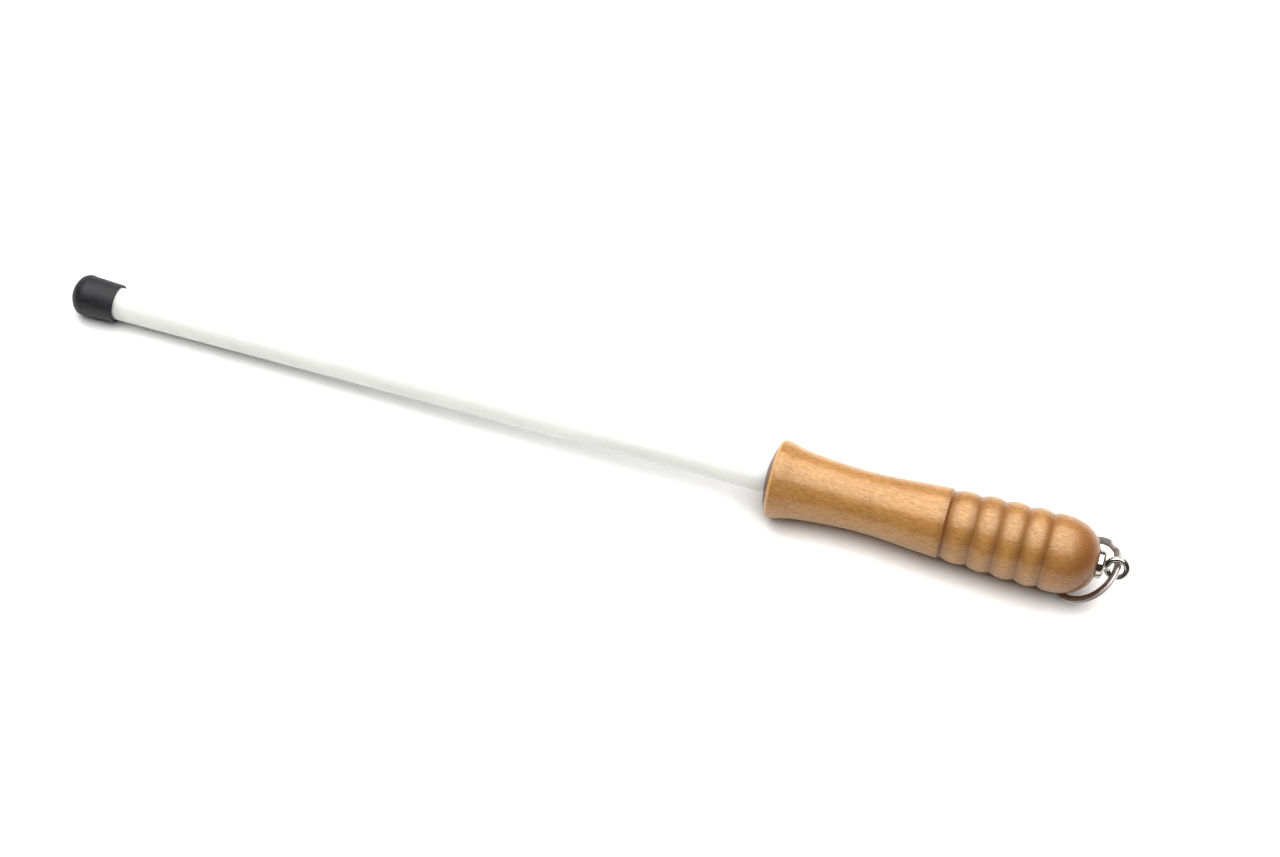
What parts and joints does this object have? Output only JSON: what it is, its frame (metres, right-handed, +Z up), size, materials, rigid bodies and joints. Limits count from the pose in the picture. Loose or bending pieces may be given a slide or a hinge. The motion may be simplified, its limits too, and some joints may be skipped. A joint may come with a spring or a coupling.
{
  "type": "knife sharpening rod",
  "caption": "White ceramic knife sharpening rod with a turned wooden handle, a black rubber tip cap and a split hanging ring on a screw eye.",
  "frame": {"origin": "on the tool's axis, in the plane of the flat shoulder at the handle's front, where the rod comes out", "axes": "+X along the tool's axis from the capped tip to the butt, +Z up, the split ring hanging below the axis and leaning back under the butt"},
  "size_m": [0.418, 0.03, 0.0323],
  "materials": {
    "handle_wood": "turned maple under satin varnish, honey coloured",
    "rod_ceramic": "fine-ground sintered alumina, matte white",
    "adhesive": "cured epoxy",
    "cap_rubber": "moulded, matte with a soft sheen",
    "eye_plating": "nickel-plated steel wire",
    "collar_plating": "polished nickel plate",
    "ring_plating": "nickel-plated spring steel, lightly scuffed"
  },
  "bodies": {
    "root": {"handle": "handle_wood", "ceramic_rod": "rod_ceramic", "rod_adhesive": "adhesive", "screw_eye": "eye_plating", "eye_collar": "collar_plating"},
    "cap": {"tip_cap": "cap_rubber"},
    "ring": {"split_ring": "ring_plating"}
  },
  "joints": [
    {"name": "cap_pull", "type": "slide", "parent": "root", "child": "cap", "axis": [-1, 0, 0], "range_m": [0, 0.03]},
    {"name": "ring_swing", "type": "hinge", "parent": "root", "child": "ring", "pos_m": [0.1313, 0, 0], "axis": [-0.0545, -0.9976, -0.0435], "range_deg": [0, 282]}
  ]
}
